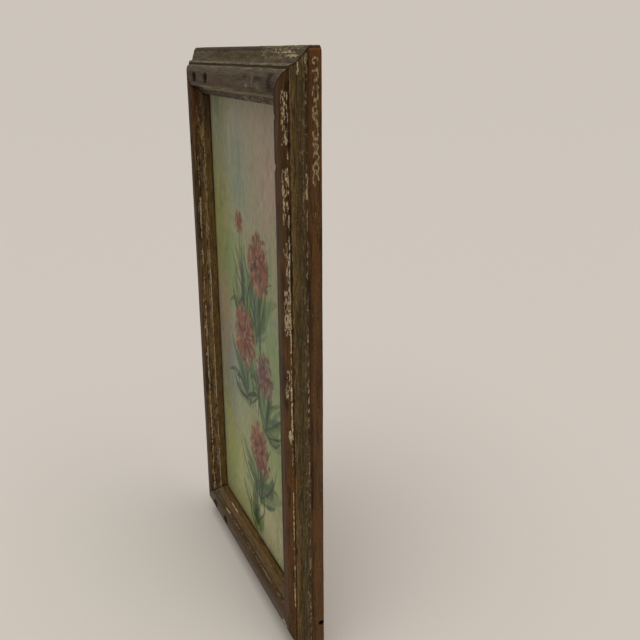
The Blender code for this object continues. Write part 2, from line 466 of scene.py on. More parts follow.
def age_all_over(face):
    """Wear that each length shares: dark joints and grooves, chipped arrises, thin paint on the band, and
    painted shade along the sight edge by the tile.
    """
    face.sink += 0.05 + 0.14 * face.noise(23, 7, 1) + 0.06 * face.noise(3.5, 1.5, 2)
    face.blunt = 0.8 * blend_in(2.6, 0.0, face.to_mitre) * blend_in(SHOULDER + 2, SHOULDER - 3, face.across)
    for arris, width in ARRISES:
        chipped = blend_in(0.55, 0.85, face.noise(4.5, 3, int(arris)))
        face.sink += 0.35 * chipped * face.stripe(arris, width)
        face.crumble("rub", face.stripe(arris, width), 0.48, int(arris))
    face.lay("olive", face.zone(SHOULDER + 0.8, BEAD) * (0.50 + 0.4 * face.noise(40, 2.5, 3)))
    face.lay("gold", face.stripe(BEAD - 0.9, 1.1) * (0.30 + 0.5 * face.noise(14, 9, 4)))
    face.lay("olive", 0.85 * face.zone(SIGHT, RABBET - 1))
    face.lay("flecks", 0.30 * face.zone(SHOULDER - 1, BEAD))
    face.lay("flecks", 0.22 * face.zone(FOOT, CROWN))
    face.lay("flecks", 0.36 * face.zone(STEP - 1.2, SIGHT + 0.5))
    face.lay("cracks", 0.25 + 0.35 * blend_in(0.5, 0.9, face.noise(30, 3, 6)))
    for groove, width, dark in GROOVES:
        face.lay("grime_and_shade", dark * face.stripe(groove, width) * (0.75 + 0.25 * face.noise(9, 9, 7)))
    # Painted shade: darker toward the rabbet, where the sight edge meets the tile.
    face.lay("grime_and_shade", 0.45 * blend_in(RABBET - 1.2, RABBET - 0.3, face.across))
    face.lay("grime_and_shade", 0.85 * blend_in(1.1, 0.35, face.to_mitre + 0.5 * (face.noise(3, 2.5, 8) - 0.5)))


# Old wood with worn paint: stained softwood rubbed half bare, with thin olive and bronze paint over a
# cream ground. The eye sees dark brown streaks along the grain, dull olive between them, and cream in
# ragged flakes. Part of the darkest coat is painted shade, and part of the grey a painted highlight.

BROWN_WOOD = linear("#3f2c18")
PALE_WOOD = linear("#593e24")
WARM_STAIN = linear("#68431f")
DARK_GRAIN = linear("#25190c")
GREY_PAINT = linear("#51483a")
PALE_GREY_PAINT = linear("#695f4d")
OLIVE_PAINT = linear("#403720")
PALE_OLIVE_PAINT = linear("#605134")
GREEN_TINGE = linear("#5a5730")
BRONZE_PAINT = linear("#7c6133")
DARK_CRUMBS = linear("#1f1409")
PALE_FLECKS = linear("#837656")
RUBBED_WOOD = linear("#8f8068")
CREAM_STAIN = linear("#8c7a58")
CREAM_PAINT = linear("#cdc0a0")
BLACK_CRACKS = linear("#160e07")
BLACK_GRIME_AND_SHADE = linear("#140d07")


def grain_noise(material, place, long_mm, wide_mm, detail=3.0):
    """Noise drawn out along the grain, with streaks of about this length and width."""
    scale = (1 / long_mm, 1 / wide_mm, 1 / wide_mm)
    scaled = put(material, "ShaderNodeVectorMath", {0: place, 1: scale}, operation="MULTIPLY")
    streaks = {"Vector": scaled, "Scale": 1.0, "Detail": detail, "Roughness": 0.6}
    return put(material, "ShaderNodeTexNoise", streaks)


def coat_over(material, under, colour, cover, start, full, most=1.0, coat=0.0, depth=1.0):
    """Lays a colour over another, from where depth times cover, plus the coat, passes start to full."""
    cover = put(material, "ShaderNodeMath", {0: cover, 1: depth, 2: coat}, operation="MULTIPLY_ADD")
    limits = {"Value": cover, "From Min": start, "From Max": full, "To Max": most}
    share = put(material, "ShaderNodeMapRange", limits, interpolation_type="SMOOTHSTEP")
    return put(material, "ShaderNodeMix", {0: share, 6: under, 7: colour}, 2, data_type="RGBA")


def stored(material, layer):
    """The three coats of one stored layer."""
    colour = put(material, "ShaderNodeAttribute", attribute_name=layer)
    return [put(material, "ShaderNodeSeparateColor", {0: colour}, channel) for channel in range(3)]


worn_wood, skin = new_material("worn_painted_wood")
along_grain = put(worn_wood, "ShaderNodeAttribute", None, 1, attribute_name="grain")
broad_streak = grain_noise(worn_wood, along_grain, 50.0, 2.8)
thin_streak = grain_noise(worn_wood, along_grain, 14.0, 1.0)
hair_line = grain_noise(worn_wood, along_grain, 9.0, 0.62)
cloud = grain_noise(worn_wood, along_grain, 22.0, 7.0)
dash = grain_noise(worn_wood, along_grain, 2.6, 0.87, 4.0)
crumb = grain_noise(worn_wood, along_grain, 1.1, 0.77, 4.0)

cream, olive, gold = stored(worn_wood, "paint")
grime_and_shade, grey_and_highlight, warm = stored(worn_wood, "stain_and_painted_light")
flecks, cracks, rub = stored(worn_wood, "marks")

grey_coat = coat_over(worn_wood, GREY_PAINT, PALE_GREY_PAINT, thin_streak, 0.38, 0.60)
olive_coat = coat_over(worn_wood, OLIVE_PAINT, PALE_OLIVE_PAINT, thin_streak, 0.40, 0.62)
cream_coat = coat_over(worn_wood, CREAM_STAIN, CREAM_PAINT, crumb, 0.40, 0.60)
cream_cover = put(worn_wood, "ShaderNodeMath", {0: dash, 1: 1.6, 2: cream}, operation="MULTIPLY_ADD")
loop_away = put(worn_wood, "ShaderNodeAttribute", None, 2, attribute_name="to_loop")
loop_away = put(worn_wood, "ShaderNodeMath", {0: crumb, 1: 0.9, 2: loop_away}, operation="MULTIPLY_ADD")
loop_away = put(worn_wood, "ShaderNodeMath", {0: loop_away, 1: 0.45}, operation="SUBTRACT")
loop_away = put(worn_wood, "ShaderNodeMath", {0: loop_away}, operation="ABSOLUTE")

# From the wood outward: a layer's colour, the pattern it breaks up in, where that starts and fills it, how
# much it covers at most, and the coat stored on the mesh and the pattern's depth beside it.
wood = coat_over(worn_wood, BROWN_WOOD, PALE_WOOD, broad_streak, 0.40, 0.60)
for layer in (
    (WARM_STAIN, cloud, 1.05, 1.75, 0.8, warm, 1.6),
    (DARK_GRAIN, thin_streak, 0.52, 0.66, 0.6),
    (grey_coat, dash, 0.55, 1.10, 0.9, grey_and_highlight, 0.7),
    (olive_coat, dash, 0.95, 1.25, 0.9, olive, 1.2),
    (GREEN_TINGE, dash, 1.80, 1.95, 0.85, olive, 1.6),
    (BRONZE_PAINT, hair_line, 1.15, 1.50, 0.8, gold, 1.6),
    (DARK_CRUMBS, crumb, 0.52, 0.68, 0.5),
    (PALE_FLECKS, dash, 1.24, 1.40, 0.65, flecks, 1.6),
    (RUBBED_WOOD, dash, 1.24, 1.38, 0.65, rub, 1.6),
    (cream_coat, cream_cover, 1.24, 1.34, 0.95),
    (cream_coat, dash, -0.75, -1.05, 0.55, loop_away, -2.4),
    (BLACK_CRACKS, hair_line, 1.32, 1.46, 0.8, cracks, 1.6),
    (BLACK_GRIME_AND_SHADE, grime_and_shade, 0.0, 1.0, 0.94),
):
    wood = coat_over(worn_wood, wood, *layer)
dulled = {"Value": cream_cover, "From Min": 1.2, "From Max": 1.4, "To Min": 0.5, "To Max": 0.85}
rough = put(worn_wood, "ShaderNodeMapRange", dulled)
relief = put(worn_wood, "ShaderNodeMath", {0: thin_streak, 1: 0.6, 2: cream_cover}, operation="MULTIPLY_ADD")
bump = put(worn_wood, "ShaderNodeBump", {"Height": relief, "Strength": 0.6, "Distance": 0.0003})
wood_finish = {"Base Color": wood, "Roughness": rough, "Normal": bump, "Specular IOR Level": 0.10}
set_inputs(worn_wood, skin, wood_finish)


# Top rail: the upper length of the softwood moulding, mitred to both stiles, and the greyest of the four.
# Two gouges cross its bulge near the left end, thumb-sized worn lobes and a hollow lie near the right
# mitre, and the lip has flaking olive paint.

def start_length(length, way, seed):
    """A new length with the wear that all four share."""
    face = WornFace(sweep_moulding(length), length, way, seed)
    age_all_over(face)
    return face


def place_length(face, name, node, turn, shift):
    """Finishes a length in its place, in worn painted wood, instead of its CAD node."""
    piece = face.finish(name, turn, shift)
    piece.data.materials.append(worn_wood)
    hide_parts(node)
    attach(piece, "root")


# A gouge has a half length, half width and depth, and each other mark its place along the rail, its
# distance from the bulge's crown, and its half length and half width.
GOUGE_FROM_END_MM = (35.0, 61.0)
GOUGE_MM = (4.3, 3.3, 3.0)
THUMB_DENTS_MM = ((140.0, -2.8, 4.0, 1.1), (160.0, -2.2, 7.0, 1.7))
THUMB_SMEARS_MM = ((142.0, 1.6, 6.0, 2.6), (161.0, 1.8, 6.0, 2.2), (152.0, -1.0, 2.4, 3.6))
HOLLOW_MM = (180.5, CROWN - 1.2, 6.0, 4.4)
HOLLOW_LIT_MM = (185.5, CROWN - 1.0, 7.5, 6.0)


def gouge_pair(face):
    """The two gouges across the bulge, which both rails have."""
    for run in GOUGE_FROM_END_MM:
        face.dent(run, CROWN, *GOUGE_MM)


face = start_length(FRAME_W, -1, 11)
# Grey all over, thickest by the bead, with less olive, bronze, cracking and dirt.
face.lay("grey_and_highlight", face.zone(SHOULDER - 3, SIGHT) * (0.42 + 0.35 * face.noise(32, 5, 20)))
face.lay("grey_and_highlight", face.zone(BAND_FOOT - 1.5, BEAD))
face.coats["olive"] *= 0.55 + 0.5 * face.noise(28, 4, 22)
face.coats["olive"] *= 1 - face.zone(BAND_FOOT - 1.5, BEAD)
face.coats["gold"] *= 0.4
face.coats["cracks"] *= 0.7
face.coats["grime_and_shade"] *= 1 - 0.35 * face.zone(FOOT - 2, FOOT + 1)
gouge_pair(face)
# Rubbed lines by the step, on the bead and at the bulge's foot, and cream and crumbs on the shoulder.
face.crumble("rub", face.band(STEP - 4.0, STEP - 2.4, 44, 122, 8), 0.66, 1)
face.crumble("rub", face.band(STEP, STEP + 1.6, 40, 122, 8), 0.80, 1)
face.crumble("rub", face.zone(BAND_FOOT + 0.5, BEAD), 0.42, 5)
face.crumble("rub", face.zone(FOOT + 1, FOOT + 3), 0.42, 6)
face.crumble("cream", face.band(SHOULDER - 1.2, SHOULDER + 1.8, 158, 204, 10), 0.46, 2)
face.crumble("cream", face.band(SHOULDER + 1.5, SHOULDER + 4.0, 178, 200, 6), 0.36, 8)
face.lay("grime_and_shade", 0.40 * face.band(SHOULDER - 2.4, SHOULDER + 0.2, -10, 150, 20))
face.crumble("flecks", face.band(SHOULDER - 1, SHOULDER + 5, 140, 200, 14), 0.42, 3)
crumbs = face.band(SHOULDER - 4.5, SHOULDER - 0.5, 138, 206, 8)
face.sink -= 0.8 * crumbs * blend_in(0.50, 0.75, face.noise(1.8, 1.6, 24))
face.crumble("flecks", crumbs, 0.55, 25)
# The lip: olive that flakes to pale specks toward the right, with dirt between them and a clean step, and
# painted shade on the left part of the lip, which faces down.
face.coats["grime_and_shade"] *= 1 - 0.85 * face.zone(STEP - 1, STEP + 2.2)
face.crumble("olive", face.band(STEP - 0.5, SIGHT + 2, 40, 190, 18), 1.10, 3)
face.crumble("flecks", face.band(STEP - 0.3, STEP + 1.4, 44, 120, 10), 0.60, 7)
face.coats["grey_and_highlight"] *= 1 - 0.9 * face.zone(STEP + 0.5, SIGHT)
# Painted shade along the downward-facing lip and sight edge toward the left.
face.lay("grime_and_shade", 0.55 * face.band(STEP + 2.6, SIGHT + 1, -10, 120, 12))
face.crumble("flecks", face.band(STEP - 3, SIGHT + 1, 108, 186, 10), 0.68, 4)
face.crumble("olive", face.band(STEP - 3.6, STEP + 1, 104, 188, 10), 0.95, 5)
face.crumble("cream", face.band(STEP - 2.6, SIGHT, 112, 182, 14), 0.26, 4)
gaps = blend_in(0.40, 0.60, face.noise(2.4, 0.9, 27))
face.lay("grime_and_shade", (0.31 + 0.52 * gaps) * face.band(STEP + 1.4, SIGHT + 1, 60, 196, 10))
face.crumble("gold", face.band(STEP - 1, SIGHT + 1, 60, 192, 14), 0.52, 10)
# The bulge: grey on its outer half, olive and faint dirty streaks on its inner half.
face.lay("grey_and_highlight", 0.95 * face.zone(FOOT + 1, CROWN - 3, 1.2))
face.coats["grey_and_highlight"] *= 1 - 0.45 * face.zone(CROWN + 2, STEP - 0.5, 1.2)
face.lay("olive", 0.62 * face.zone(CROWN + 2, STEP - 0.5, 1.2))
streaks = 0.14 + 0.25 * blend_in(0.45, 0.90, face.noise(14, 2.2, 26))
face.lay("grime_and_shade", streaks * face.zone(CROWN - 2, STEP - 4, 1.2))
# Thumb marks, and the shallow hollow by the right mitre, painted dark on its left as its shaded side, with
# its lit part left clear.
for run, across, along, wide in THUMB_DENTS_MM:
    face.dent(run, CROWN + across, along, wide, 0.6, 0.45)
for run, across, along, wide in THUMB_SMEARS_MM:
    face.patch("grey_and_highlight", run, CROWN + across, along, wide, 1.3)
    face.patch("rub", run, CROWN + across, along, wide, 0.60)
# Painted shade in the hollow, kept off the part where light falls.
hollow = blend_in(1.15, 0.95, face.far(*HOLLOW_MM))
face.lay("grime_and_shade", 0.6 * hollow * blend_in(0.55, 1.1, face.far(*HOLLOW_LIT_MM)))
face.sink += 0.8 * hollow
place_length(face, "worn_top_rail", "top_rail", 180, (0, BACK_Y, FRAME_H / 2))


# Bottom rail: the lower length of the softwood moulding, mitred to both stiles. It is brown-grey, with the
# same two gouges near its left end and pale worn lines along its step.

def clean_joint(face, start, end):
    """Takes most of the dirt out of a tight joint that lies between two places along the length."""
    face.coats["grime_and_shade"] *= 1 - 0.6 * blend_in(3.0, 1.5, face.to_mitre) * face.stretch(start, end, 10)


face = start_length(FRAME_W, 1, 23)
clean_joint(face, -10, 60)
# Grey over brown, thickest toward the left end, a painted highlight of pale grey along the crown with
# painted shade beside it, and bronze on the lip.
face.lay("grey_and_highlight", (0.30 + 0.25 * face.noise(25, 4, 20)) * face.zone(SHOULDER - 2, SIGHT))
face.lay("grey_and_highlight", face.stretch(-10, 40, 12) * face.zone(CROWN - 4, SIGHT))
face.lay("grey_and_highlight", 0.45 * face.zone(FOOT + 2, CROWN - 2) * (0.5 + 0.5 * face.noise(60, 9, 21)))
face.lay("grey_and_highlight", 0.55 * face.zone(CROWN + 2, SIGHT - 1) * (0.6 + 0.4 * face.noise(50, 4, 23)))
face.lay("gold", 0.52 * face.zone(STEP + 1, RABBET - 1))
# Painted highlight along the lit crown, and painted shade in a line just outside it.
face.lay("grey_and_highlight", 0.72 * face.zone(CROWN - 0.6, CROWN + 1.6, 0.8) * face.stretch(30, 200, 20))
face.lay("grime_and_shade", 0.30 * face.stripe(CROWN - 2.6, 1.8) * face.stretch(30, 210, 20))
face.lay("warm", 0.30 + 0.2 * face.noise(45, 5, 24))
face.coats["cracks"] *= 0.5
face.coats["olive"] *= 1 - 0.3 * face.zone(SIGHT - 1, RABBET)
face.coats["flecks"] *= 1 - 0.6 * face.zone(STEP - 2, SIGHT)
gouge_pair(face)
# Pale lines on the step and the sight edge, and two flakes toward the right mitre.
face.crumble("cream", face.stripe(STEP - 0.2, 1.1) * face.stretch(50, 64, 4), 0.80, 1)
face.crumble("rub", face.stripe(STEP - 0.4, 1.0) * face.stretch(44, 190, 5), 0.52, 1)
face.crumble("cream", face.stripe(SIGHT, 1.0) * face.stretch(56, 74, 4), 0.80, 2)
face.patch("cream", 172.0, FOOT + 3.0, 3.0, 1.0)
face.patch("cream", 185.0, CROWN - 1.5, 3.6, 1.3, 1.2)
place_length(face, "worn_bottom_rail", "bottom_rail", 0, (0, BACK_Y, -FRAME_H / 2))


# Left stile: the left upright of the softwood moulding, mitred to both rails. It is brown, with broken cream
# and olive lines on its step and lip, and a knock on its bulge near the top.

# Stretches of flakes: start, end, and the share left on the step and on the sight edge.
STILE_FLAKES_MM = (
    (52.0, 92.0, 0.32, 0.38),
    (92.0, 99.0, 0.40, 0.75),
    (99.0, 118.0, 0.85, 0.42),
    (118.0, 134.0, 0.42, 0.52),
    (134.0, 150.0, 0.68, 0.40),
    (150.0, 178.0, 0.50, 0.74),
    (178.0, 342.0, 0.62, 0.60),
)

face = start_length(FRAME_H, 1, 37)
clean_joint(face, 300, 370)
# Warm brown, dark on the outer bulge, painted shade at the top under the top rail, and olive and bronze on
# the step and lip.
face.lay("warm", 0.40 + 0.25 * face.stretch(0, 30, 12))
face.coats["warm"] *= 1 - 0.6 * face.zone(STEP + 1, SIGHT)
face.coats["cracks"] *= 1 - 0.6 * face.zone(STEP + 1, RABBET)
face.lay("grime_and_shade", 0.60 * face.zone(FOOT, CROWN - 0.5, 1.0))
# Painted shade at the top, under the top rail.
face.lay("grime_and_shade", 0.35 * face.stretch(-10, 24, 12))
face.lay("grime_and_shade", 0.30 * face.zone(CROWN, CROWN + 4, 1.0) * face.stretch(-10, 210, 40))
face.lay("olive", 0.80 * face.zone(STEP + 1.5, SIGHT) * face.noise(16, 6, 20))
face.crumble("gold", face.band(STEP - 3.5, STEP + 2, 40, 345, 15), 0.50, 2)
face.crumble("gold", face.band(STEP + 2, SIGHT, 70, 345, 15), 0.50, 4)
# The sight edge turns toward the light: more bronze and warm brown and less olive there are partly its worn
# paint and partly painted light.
face.lay("gold", 0.55 * face.band(SIGHT, RABBET + 1, 45, 345, 25))
lit_sight_edge = face.band(SIGHT + 0.6, RABBET, 90, 370, 30)
face.coats["olive"] *= 1 - 0.35 * lit_sight_edge
face.lay("warm", 0.40 * lit_sight_edge)
face.lay("flecks", 0.34 * face.band(SIGHT + 0.5, RABBET - 0.5, 60, 345, 25))
# Cream left in broken lines, rubbed spots on the lip, and the knock.
for seed, (start, end, at_step, at_sight) in enumerate(STILE_FLAKES_MM, 5):
    here = face.stretch(start, end, 3)
    face.crumble("cream", face.stripe(STEP - 0.6, 1.0) * here, at_step, 1)
    face.crumble("cream", face.zone(STEP - 2.4, STEP - 1) * here, 0.55 * at_step, seed)
    face.crumble("cream", face.stripe(SIGHT - 0.4, 1.0) * here, at_sight, 3)
face.crumble("rub", face.band(STEP + 2.5, SIGHT, 40, 345, 12), 0.42, 6)
face.patch("rub", 47.0, STEP + 1.2, 3.5, 0.8, 0.6)
face.patch("gold", 55.0, STEP + 3.5, 5.0, 2.4)
face.dent(61.0, CROWN, 3.0, 2.5, 1.2)
place_length(face, "worn_left_stile", "left_stile", 90, (-FRAME_W / 2, BACK_Y, 0))


# Right stile: the right upright of the softwood moulding, mitred to both rails and nearest the camera. Cream
# paint clings to the foot of its bulge, loops of it run down the upper side, the inner bulge has two
# knocks, and a nail hole is open low on the side.

# Loops on the side and rings on the bulge: start and length. Flaked stretches: start, end, share left,
# distance from the bulge's foot, and width. Dashed stretches: start, end and share left.
LOOPS_MM = (
    (5.5, 3.0), (11.0, 5.0), (17.0, 8.5), (28.0, 3.0), (31.0, 3.5),
    (35.0, 9.5), (45.5, 3.6), (50.0, 4.0), (55.0, 5.5), (60.0, 5.5),
)
RINGS_MM = (
    (21.0, 7.0), (28.5, 4.0), (33.0, 5.0), (60.0, 6.0), (67.0, 6.0), (98.0, 5.0),
    (128.0, 7.0), (136.0, 5.0), (141.0, 6.0), (168.0, 7.0), (175.5, 8.0),
)
FLAKED_MM = (
    (21.0, 48.0, 0.44, 0.8, 4.4),
    (58.0, 88.0, 0.45, 1.0, 4.6),
    (95.0, 120.0, 0.46, 0.6, 3.2),
    (121.0, 148.0, 0.40, 0.8, 4.6),
    (166.0, 186.0, 0.32, 1.0, 4.6),
)
DASHED_MM = (
    (4.0, 34.0, 0.36),
    (34.0, 58.0, 0.20),
    (58.0, 84.0, 0.40),
    (84.0, 166.0, 0.24),
    (166.0, 192.0, 0.40),
    (206.0, 232.0, 0.36),
    (232.0, 345.0, 0.20),
)
KNOCKS_MM = (34.0, 59.0)
HOLE_RUN = 327.0
HOLE_ACROSS = 1.7
HOLE_R = 1.2
HOLE_DEEP = 3.0

face = start_length(FRAME_H, -1, 53)
# Warm brown on the bulge and the side, bronze by the bead, olive and grey along the side.
side = face.zone(0, SHOULDER - 2.5)
warmth = 0.35 + 0.35 * face.noise(40, 3, 20) + 0.2 * face.stretch(180, 330, 40)
face.lay("warm", face.zone(FOOT, CROWN + 2, 1.2) * warmth)
face.lay("warm", face.zone(-2, SHOULDER - 2.5, 1.2) * (0.50 + 0.35 * face.noise(50, 3, 21)))
face.lay("olive", 0.45 * face.zone(1.2, 3.6, 0.8) * face.stretch(-10, 110, 30))
face.lay("gold", 0.45 * face.zone(BAND_FOOT - 0.6, BEAD - 0.3))
face.lay("grey_and_highlight", 0.32 * side * face.stretch(80, 370, 40))
face.coats["cracks"] *= 1 - 0.75 * face.zone(-2, SHOULDER - 2.5)
face.coats["cracks"] *= 1 - 0.5 * face.zone(SHOULDER, BEAD)
face.coats["grime_and_shade"] *= 1 - 0.4 * face.zone(SHOULDER - 2.5, SHOULDER)
face.coats["grime_and_shade"] *= 1 - 0.3 * face.zone(FOOT - 2, FOOT + 0.5)
# Painted shade: a dark line along the back edge of the side, and darker on the inner bulge, which is turned
# from the light.
face.lay("grime_and_shade", 0.35 * blend_in(1.3, 0.3, face.across))
face.lay("grime_and_shade", 0.4 * face.zone(CROWN + 1.5, STEP, 1.0))
face.lay("grime_and_shade", face.zone(FOOT + 4, CROWN + 2, 1.5) * (0.12 + 0.14 * face.stretch(-10, 110, 40)))
face.lay("gold", side * face.stretch(-10, 95, 20) * (0.15 + 0.25 * face.noise(8, 2, 22)))
# Pale specks, and cream: flaked at the bulge's foot, dashed on the shoulder, and in lines and flakes.
face.crumble("flecks", face.zone(SHOULDER - 1.5, SHOULDER + 3), 0.34, 30)
face.lay("flecks", 0.26 * side)
for seed, (start, end, amount, above, wide) in enumerate(FLAKED_MM):
    here = face.zone(FOOT + above, FOOT + above + wide, 0.8) * face.stretch(start, end, 2)
    face.crumble("cream", here, amount, seed)
for seed, (start, end, amount) in enumerate(DASHED_MM):
    here = face.stretch(start, end, 2)
    face.crumble("cream", face.stripe(SHOULDER + 0.2, 1.3) * here, amount, 10 + seed)
    face.crumble("cream", face.stripe(SHOULDER + 2.6, 0.8) * here, 0.7 * amount, 20 + seed)
face.crumble("cream", face.stripe(FOOT + 1.4, 0.8) * face.stretch(44, 322, 3), 0.52, 20)
face.crumble("cream", face.stripe(FOOT + 1.4, 0.9) * face.stretch(92, 205, 3), 0.64, 21)
face.crumble("cream", face.stripe(FOOT + 1.4, 0.65) * face.stretch(290, 316, 2), 0.95, 22)
face.patch("cream", 207.0, FOOT + 2.4, 2.6, 1.3)
face.patch("cream", 10.5, BAND_FOOT - 1.4, 3.8, 0.6, 0.95)
face.patch("rub", 81.0, 3.8, 2.0, 0.7, 0.7)
face.patch("rub", 88.0, 2.8, 2.2, 0.7, 0.7)
# Loops and rings of flaked paint, the knocks, and the nail hole.
for start, long in LOOPS_MM:
    face.loop(start + long / 2, 3.4, long / 2, 1.35, int(start))
for start, long in RINGS_MM:
    face.loop(start + long / 2, FOOT + 3.8, long / 2, 1.4, int(start))
for run in KNOCKS_MM:
    face.dent(run, CROWN + 4.0, 3.0, 2.4, 1.4)
hole = face.far(HOLE_RUN, HOLE_ACROSS, HOLE_R, HOLE_R)
face.sink = np.where(hole < 1, HOLE_DEEP, face.sink)
face.lay("grime_and_shade", blend_in(1.6, 1.1, hole))
place_length(face, "worn_right_stile", "right_stile", -90, (FRAME_W / 2, BACK_Y, 0))


# Tile: one slab of porcelain, painted by hand with soft washes and ruffled flowers, then glazed and fired.
# It rests in the rabbet, so the lip hides its rounded edge.

TILE_T = 0.0046
TILE_FRONT = BACK_Y - RABBET_D + FIT_GAP
TILE_COLUMNS = 212
TILE_ROWS = 418
# The rounded edge, in steps outward and back as shares of its radius.
TILE_EDGE_R = 0.0008
TILE_EDGE_STEPS = ((0.50, 0.13), (0.37, 0.37), (0.13, 0.50))

bm = bmesh.new()
bmesh.ops.create_grid(bm, x_segments=TILE_COLUMNS, y_segments=TILE_ROWS, size=0.5)
face_w, face_h = TILE_W - 2 * TILE_EDGE_R, TILE_H - 2 * TILE_EDGE_R
bmesh.ops.scale(bm, verts=bm.verts, vec=(face_w, face_h, 1))
bmesh.ops.rotate(bm, verts=bm.verts, matrix=Matrix.Rotation(radians(90), 3, "X"))
bmesh.ops.translate(bm, verts=bm.verts, vec=(0, TILE_FRONT, 0))
rim = [edge for edge in bm.edges if edge.is_boundary]
rim_steps = [(grow * TILE_EDGE_R, back * TILE_EDGE_R) for grow, back in TILE_EDGE_STEPS]
rim_steps += [(0, TILE_T - 2 * TILE_EDGE_R), (-TILE_EDGE_R, TILE_EDGE_R)]
for grow, back in rim_steps:
    grown = bmesh.ops.extrude_edge_only(bm, edges=rim)["geom"]
    rim = [item for item in grown if isinstance(item, bmesh.types.BMEdge)]
    for vert in {item for item in grown if isinstance(item, bmesh.types.BMVert)}:
        at_side = abs(vert.co.x) > face_w / 2 - TILE_EDGE_R / 2
        at_end = abs(vert.co.z) > face_h / 2 - TILE_EDGE_R / 2
        vert.co.x += grow * np.sign(vert.co.x) * at_side
        vert.co.z += grow * np.sign(vert.co.z) * at_end
        vert.co.y += back
    rim = [edge for edge in rim if edge.is_boundary]
bmesh.ops.holes_fill(bm, edges=rim, sides=0)
bmesh.ops.recalc_face_normals(bm, faces=bm.faces)
tile_mesh = mesh_from(bm, "painted_tile")

spot = np.empty(len(tile_mesh.vertices) * 3)
tile_mesh.vertices.foreach_get("co", spot)
spot = spot.reshape(-1, 3)
spot = np.stack([spot[:, 0] + TILE_W / 2, TILE_H / 2 - spot[:, 2]], 1) / MM
picture = np.empty((len(spot), 3))
WIDE, TALL = TILE_W / MM, TILE_H / MM


def pigment(hex_colour):
    """An sRGB hex colour as three linear values for the brush."""
    return np.array(linear(hex_colour)[:3])


def lay_colour(near, colour, cover):
    """Mixes a colour into the picture at some of its points."""
    picture[near] += (colour - picture[near]) * np.clip(cover, 0, 1)[:, None]


# Sizes of a stroke's bristle marks, a wash's clouds and a petal's ruffles.
BRISTLE_MARK_MM = (0.9, 3.0)
CLOUD_MM = (10.0, 26.0)
RUFFLE_MM = 1.4


def brush(curve, width, colour, strength):
    """A tapering stroke along a curve of points in mm."""
    reach = width + 1
    near = np.flatnonzero(((spot >= curve.min(0) - reach) & (spot <= curve.max(0) + reach)).all(1))
    here = spot[near]
    gap = np.full(len(near), np.inf)
    share = np.zeros(len(near))
    for step, (start, end) in enumerate(zip(curve, curve[1:])):
        run = np.clip((here - start) @ (end - start) / ((end - start) @ (end - start)), 0, 1)
        away = np.linalg.norm(here - start - run[:, None] * (end - start), axis=1)
        closer = away < gap
        gap[closer] = away[closer]
        share[closer] = (step + run[closer]) / (len(curve) - 1)
    half = 0.5 * width * np.sin(pi * (0.06 + 0.92 * share)) ** 0.7
    bristles = 0.7 + 0.6 * mottle(*(here / BRISTLE_MARK_MM).T, 7)
    lay_colour(near, colour, strength * blend_in(half + 0.5, half - 0.5, gap) * bristles)


def arc_curve(start, end, bend):
    """Nine points from start to end, bowed sideways by bend mm."""
    start, end = np.array(start, float), np.array(end, float)
    side = np.array([end[1] - start[1], start[0] - end[0]]) / np.linalg.norm(end - start)
    share = np.linspace(0, 1, 9)[:, None]
    return start + (end - start) * share + side * bend * np.sin(pi * share) * (0.6 + 0.8 * share)


def wash(colour, x, y, wide, tall, strength):
    """A soft cloud of colour at a share of the width and height, worked over with upright strokes."""
    share = spot / (WIDE, TALL)
    near = np.exp(-((share[:, 0] - x) / wide) ** 2 - ((share[:, 1] - y) / tall) ** 2)
    ragged = 0.5 + 0.8 * mottle(*(spot / CLOUD_MM).T, round(900 * y))
    lay_colour(np.arange(len(spot)), pigment(colour), strength * near * ragged)
    dice = np.random.default_rng(int(1000 * (x + y)))
    for _ in range(round(300 * wide * tall) + 12):
        middle = np.array([x, y]) + dice.normal(0, 0.75, 2) * (wide, tall)
        lean = dice.uniform(-0.2, 0.2)
        reach = dice.uniform(7, 20)
        start, end = (middle * (WIDE, TALL) + side * reach * np.array([lean, 1]) for side in (-1, 1))
        tint = pigment(colour) * dice.uniform(0.75, 1.2) * (1 + dice.uniform(-0.12, 0.12, 3))
        stroke = arc_curve(start, end, dice.uniform(-2, 2))
        brush(stroke, dice.uniform(2.5, 7), tint, strength * dice.uniform(0.25, 0.6))


def petal(middle, angle, length, width, root, tip, strength):
    """A short loaded dab, one colour at its root and another at its ruffled tip."""
    near = np.flatnonzero((np.abs(spot - middle) < max(length, width) + 1).all(1))
    away = spot[near] - middle
    axis = np.array([cos(angle), sin(angle)])
    out = away @ axis / length
    side = away @ np.array([-axis[1], axis[0]]) / width
    ruffle = mottle(*(spot[near] / RUFFLE_MM).T, 3) - 0.5
    inside = 1 - np.hypot(out, side * (1.15 - 0.35 * out)) + 0.55 * ruffle
    colour = root + (tip - root) * blend_in(-0.4, 0.9, out + 0.6 * ruffle)[:, None]
    lay_colour(near, colour, strength * blend_in(-0.10, 0.50, inside))


# How often each of a flower's four tones is picked, deep to pale: at its rim, in its heart, in its ruffles.
RIM_MIX = (0.08, 0.37, 0.35, 0.20)
HEART_MIX = (0.30, 0.35, 0.21, 0.14)
RUFFLE_MIX = (0.22, 0.32, 0.24, 0.22)


